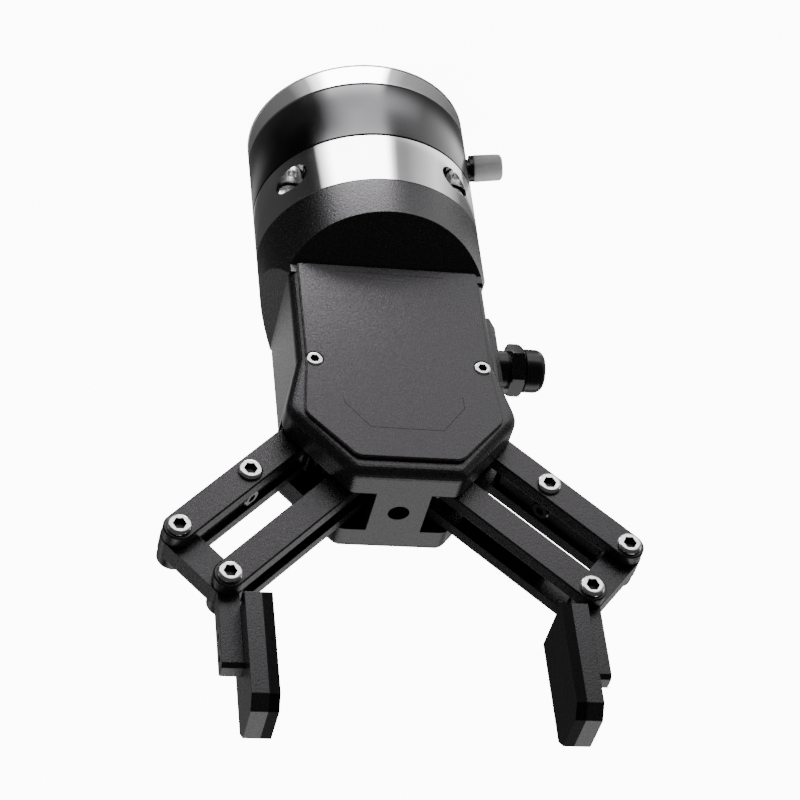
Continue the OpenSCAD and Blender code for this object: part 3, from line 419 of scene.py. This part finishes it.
arm_half_w, arm_head_r, arm_head_h, arm_shank_r = 0.0072, 0.0035, 0.0013, 0.002
arm_turn, mid_screw_s, arm_len = math.radians(44), 0.0235, 0.052
for side_name, side in sides.items():
    inner_low, inner_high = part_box(f"{side_name}_inner_screw")
    arm_low, arm_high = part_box(f"{side_name}_arm_screws")
    wrist_x = side * (max(abs(arm_low[0]), abs(arm_high[0])) - arm_head_r)
    wrist_z = arm_high[2] - arm_head_r
    middle = (arm_len - mid_screw_s) * np.array([math.cos(arm_turn), math.sin(arm_turn)])
    places = {"wrist": (wrist_x, wrist_z), "middle": (wrist_x - side * middle[0], wrist_z - middle[1]),
              "inner": ((inner_low[0] + inner_high[0]) / 2, (inner_low[2] + inner_high[2]) / 2)}
    for where, (x, z) in places.items():
        screw = button_screw(f"{side_name}_{where}_button", (x, -arm_half_w, z), arm_head_r, arm_head_h,
                             arm_shank_r, 2 * arm_half_w)
        arm, node = ("inner_arm", "inner_screw") if where == "inner" else ("outer_arm", "arm_screws")
        carry(screw, f"{side_name}_{arm}", "screw_steel", f"{side_name}_{node}")
dress(grained("dark_steel", (0.12, 0.12, 0.125), 0.22, 1500.0, 0.03, Metallic=1.0),
      *[f"{side}_{part}" for side in sides for part in ("set_screw", "tip_screws")])


# ---- Cable gland ----
# Moulded nylon gland, screwed into the block on the body's side: a hexagon with chamfered
# corners, a dome nut and the rubber seal inside it.
gloss_nylon = grained("gloss_nylon", (0.005, 0.005, 0.0052), 0.26, 700.0, 0.03)
dress(grained("seal_rubber", (0.015, 0.015, 0.015), 0.6, 1200.0, 0.15), "gland_seal")

gland_low, gland_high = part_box("gland_nut")
gland_z, gland_r = (gland_low[2] + gland_high[2]) / 2, (gland_high[2] - gland_low[2]) / 2
gland_axes, gland_turns = ((0, 1, 0), (0, 0, 1), (-1, 0, 0)), 96

nut_foot, nut_len = gland_high[0], gland_high[0] - gland_low[0]
nut_bore, nut_foot_edge, nut_side_edge, dome_h, dome_r = 0.004, 0.0006, 0.0007, 0.0027, 0.0024
nut_points = [(nut_bore, 0), (gland_r - nut_foot_edge, 0), (gland_r, nut_side_edge),
              *quarter((gland_r, nut_len - dome_h), (gland_r - dome_r, nut_len), 10), (nut_bore, nut_len)]
nut = lathe("gland_dome", *profile(nut_points, gland_turns), gland_axes, (nut_foot, 0, gland_z), gloss_nylon,
            tube=True)
carry(nut, "base", "gland_black", "gland_nut")

# The hexagon's corners are turned off in two steps at either end.
gland_len = 0.0156
hex_corner_r, hex_len, bore_r, thread_r, neck_r = 0.0079, 0.27 * gland_len, 0.003, 0.005, 0.0056
hex_foot, block_face = nut_foot + hex_len, -0.033
thread_end, neck_start = hex_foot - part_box("gland_body")[1][0], hex_foot - block_face
turned_off = np.array([0.0072, 0.0077, 0.0082, 0.0082, 0.0077, 0.0072])[:, None]
steps = np.array([0, 0.0003, 0.0009, hex_len - 0.0009, hex_len - 0.0003, hex_len])[:, None]
hex_r = np.minimum(hexagon(hex_corner_r * math.cos(math.pi / 6), gland_turns), turned_off)
below_r, below_h = profile([(bore_r, thread_end), (thread_r, thread_end), (thread_r, neck_start),
                            (neck_r, neck_start), (neck_r, 0)], gland_turns)
above_r, above_h = profile([(bore_r, hex_len)], gland_turns)
gland_body = lathe("gland_hexagon", np.vstack([below_r, hex_r, above_r]),
                   np.vstack([below_h, steps + np.zeros(gland_turns), above_h]), gland_axes,
                   (hex_foot, 0, gland_z), gloss_nylon, tube=True)
carry(gland_body, "base", "gland_black", "gland_body")


# ---- Pads ----
# Moulded black rubber, flat and matt, bonded to the inner side of each fingertip.
# It stays darker than the metal in any light.
dress(grained("pad_rubber", (0.003, 0.003, 0.003), 0.55, 1100.0, 0.2, IOR=1.18), "right_finger_pad",
      "left_finger_pad")


# ---- Drive inside the body ----
# Motor, planetary gearbox, lead screw, nut and crosshead with its racks. Only the ends of the
# racks and the pinions show, in the slots of the arms: hardened steel, blackened in oil.
black_steel = grained("black_steel", (0.05, 0.05, 0.052), 0.4, 1500.0, 0.05, Metallic=1.0)
ground_steel = grained("ground_steel", (0.62, 0.63, 0.65), 0.28, 1800.0, 0.03, Metallic=1.0)
bronze = grained("sintered_bronze", (0.56, 0.36, 0.16), 0.38, 2600.0, 0.05, Metallic=1.0)
dress(turned_metal("motor_can", (0.42, 0.42, 0.44), 0.35), "motor")
dress(turned_metal("gearbox_ring", (0.6, 0.61, 0.63), 0.3), "gearbox", "screw_bearing", "lead_screw")
dress(black_steel, "crosshead", "right_pinion", "left_pinion")
dress(ground_steel, "outer_pivot_pins", "inner_pivot_pins", "thrust_washers")
dress(bronze, "screw_bush", "drive_nut", "right_finger_bushes", "left_finger_bushes")
dress(grained("circuit_board", (0.02, 0.12, 0.06), 0.35, 900.0, 0.05), "control_board")


# ---- Floor ----
# A plain pale floor. Only the camera sees its own glow, which keeps it almost white and
# throws no light on the gripper.
def stage_mesh(name, verts, faces, surface):
    """A mesh of the studio, which isn't part of the gripper."""
    mesh = bpy.data.meshes.new(name)
    mesh.from_pydata(verts, [], faces)
    mesh.materials.append(surface)
    piece = bpy.data.objects.new(name, mesh)
    bpy.context.collection.objects.link(piece)
    return piece


floor_half, floor_glow = 4, 11.0
floor_paint, floor_tree, floor_shader = material(
    "floor_paint", Base_Color=(0.9, 0.9, 0.9, 1), Roughness=0.9, Emission_Color=(1, 1, 1, 1))
seen = add(floor_tree, "ShaderNodeLightPath").outputs["Is Camera Ray"]
seen_glow = add(floor_tree, "ShaderNodeMath", {0: seen, 1: floor_glow}, operation="MULTIPLY").outputs[0]
floor_tree.links.new(seen_glow, floor_shader.inputs["Emission Strength"])
stage_mesh("floor", [(x * floor_half, y * floor_half, 0) for x, y in ((-1, -1), (1, -1), (1, 1), (-1, 1))],
           [(0, 1, 2, 3)], floor_paint)


# ---- Reflection board ----
# A round board lies just over the floor, and only the part's shine sees it: white in front,
# black to the right and grey behind. Its levels are tuned for the stage's own camera: seen from
# elsewhere, the shine falls in other places than it would on plain softboxes.
board_lift = 0.0006

# How brightly each band of the board glows, between its inner and outer radius in metres, at each
# angle in degrees, from 0 in front to 90 on the right. From one to the next it changes evenly.
board_glows = {
    (0.034, 0.041): {-120: 0.15, -60: 0.2, -46: 0.3, -18: 0.5, -9: 1.2, -4: 16, 27: 16, 32: 5, 39: 0.8,
                     50: 0.2, 90: 0.12, 150: 0.15},
    (0.046, 0.050): {-120: 0.8, -92: 1.8, -73: 2.9, -38: 1.6, -5: 7, 23: 5.6, 38: 0.2, 75: 0.05, 88: 0.15,
                     103: 0.5, 128: 0.6, 150: 0.4},
    (0.053, 0.060): {-120: 0.4, -92: 1.2, -73: 2.4, -38: 1.6, -18: 1.5, -12: 2.2, -5: 7, 14: 8, 23: 5.6,
                     30: 3, 38: 0.2, 46: 0.0, 75: 0.04, 90: 0.06, 120: 0.07},
    (0.064, 0.086): {-108: 0.13, -82: 0.2, -67: 0.8, -53: 1.35, -42: 0.9, -25: 0.4, -17: 0.4, -13: 2.2,
                     -8: 11, 34: 11, 41: 4, 48: 0.06, 56: 0.03, 86: 0.05, 118: 0.06, 144: 0.08, 170: 0.1},
    (0.094, 0.112): {-120: 1.0, -93: 1.8, -50: 2.0, -12: 2.4, 2: 0.6, 26: 0.4, 36: 0.1, 46: 0.02, 90: 0.03,
                     120: 0.1, 150: 0.9},
    (0.118, 0.16): {-150: 0.4, -90: 0.6, -55: 1.2, -35: 1.8, 40: 1.8, 55: 0.15, 120: 0.15, 150: 0.8},
    (0.2, 0.32): {-150: 0.2, -90: 0.5, -55: 1.4, -40: 2.2, 40: 2.2, 55: 0.1, 120: 0.08, 150: 0.2},
    (0.36, 0.45): {-150: 0.3, -60: 0.3, -20: 0.1, 40: 0.08, 120: 0.1, 150: 0.15},
    (0.6, 3.9): {-150: 1.1, -100: 1.0, -60: 0.3, -20: 0.1, 40: 0.08, 120: 0.2, 150: 1.1},
}
# Each point of the board glows as the two nearest edges of the bands do at its angle, each
# with a share that grows as the point comes closer to it.
board_rings = np.concatenate(
    [np.linspace(0.034, 0.14, 54), np.linspace(0.15, 0.4, 14), np.linspace(0.5, 3.9, 8)])
board_turns = np.linspace(-180, 180, 241)
ring, turn = np.meshgrid(board_rings, np.radians(board_turns), indexing="ij")
board_verts = np.stack([ring * np.sin(turn), -ring * np.cos(turn), np.full_like(ring, board_lift)], axis=-1)
zone_rings = np.array(list(board_glows)).ravel()
zone_glows = np.repeat([np.interp(board_turns, list(glows), list(glows.values()), period=360)
                        for glows in board_glows.values()], 2, axis=0)
outer = np.clip(np.searchsorted(zone_rings, ring), 1, len(zone_rings) - 1)
share = np.clip((ring - zone_rings[outer - 1]) / (zone_rings[outer] - zone_rings[outer - 1]), 0, 1)
column = np.arange(len(board_turns))
glow = (1 - share) * zone_glows[outer - 1, column] + share * zone_glows[outer, column]
row, step = np.meshgrid(np.arange(len(board_rings) - 1), np.arange(len(board_turns) - 1), indexing="ij")
first = row * len(board_turns) + step
board_faces = np.stack([first, first + len(board_turns), first + len(board_turns) + 1, first + 1], axis=-1)
board_glow = bpy.data.materials.new("board_glow")
board_glow.use_nodes = True
board_tree = board_glow.node_tree
board_tree.nodes.clear()
shine = add(board_tree, "ShaderNodeEmission",
            {"Strength": add(board_tree, "ShaderNodeAttribute", attribute_name="glow").outputs["Fac"]})
board_tree.links.new(shine.outputs[0], add(board_tree, "ShaderNodeOutputMaterial").inputs["Surface"])
board = stage_mesh("reflection_board", board_verts.reshape(-1, 3).tolist(),
                   board_faces.reshape(-1, 4).tolist(), board_glow)
board.data.attributes.new("glow", "FLOAT", "POINT").data.foreach_set("value", glow.ravel())
board.visible_camera = board.visible_diffuse = board.visible_shadow = board.visible_transmission = False


# ---- Lights ----
# A wide softbox behind and above shines on the end faces. A broad top light lights the floor
# and the dull finishes, and the shine doesn't see it.
def softbox(name, place, look_at, size, watts, in_shine=True):
    """A rectangular area light at place that faces look_at."""
    data = bpy.data.lights.new(name, "AREA")
    data.shape, data.size, data.size_y, data.energy = "RECTANGLE", size[0], size[1], watts
    lamp = bpy.data.objects.new(name, data)
    bpy.context.collection.objects.link(lamp)
    lamp.location = place
    lamp.rotation_euler = (Vector(look_at) - Vector(place)).to_track_quat("-Z", "Y").to_euler()
    lamp.visible_glossy = in_shine
    lamp.visible_camera = False


softbox("back_softbox", (-0.25, 1.1, 1.0), (0, 0, 0.1), (1.6, 0.9), 7)
softbox("top_softbox", (0.2, 0.5, 1.8), (0, 0, 0), (1.5, 1.5), 30, in_shine=False)

world = bpy.data.worlds.new("studio")
bpy.context.scene.world = world
world.use_nodes = True
world.node_tree.nodes["Background"].inputs["Color"].default_value = (1, 1, 1, 1)
world.node_tree.nodes["Background"].inputs["Strength"].default_value = 0.05
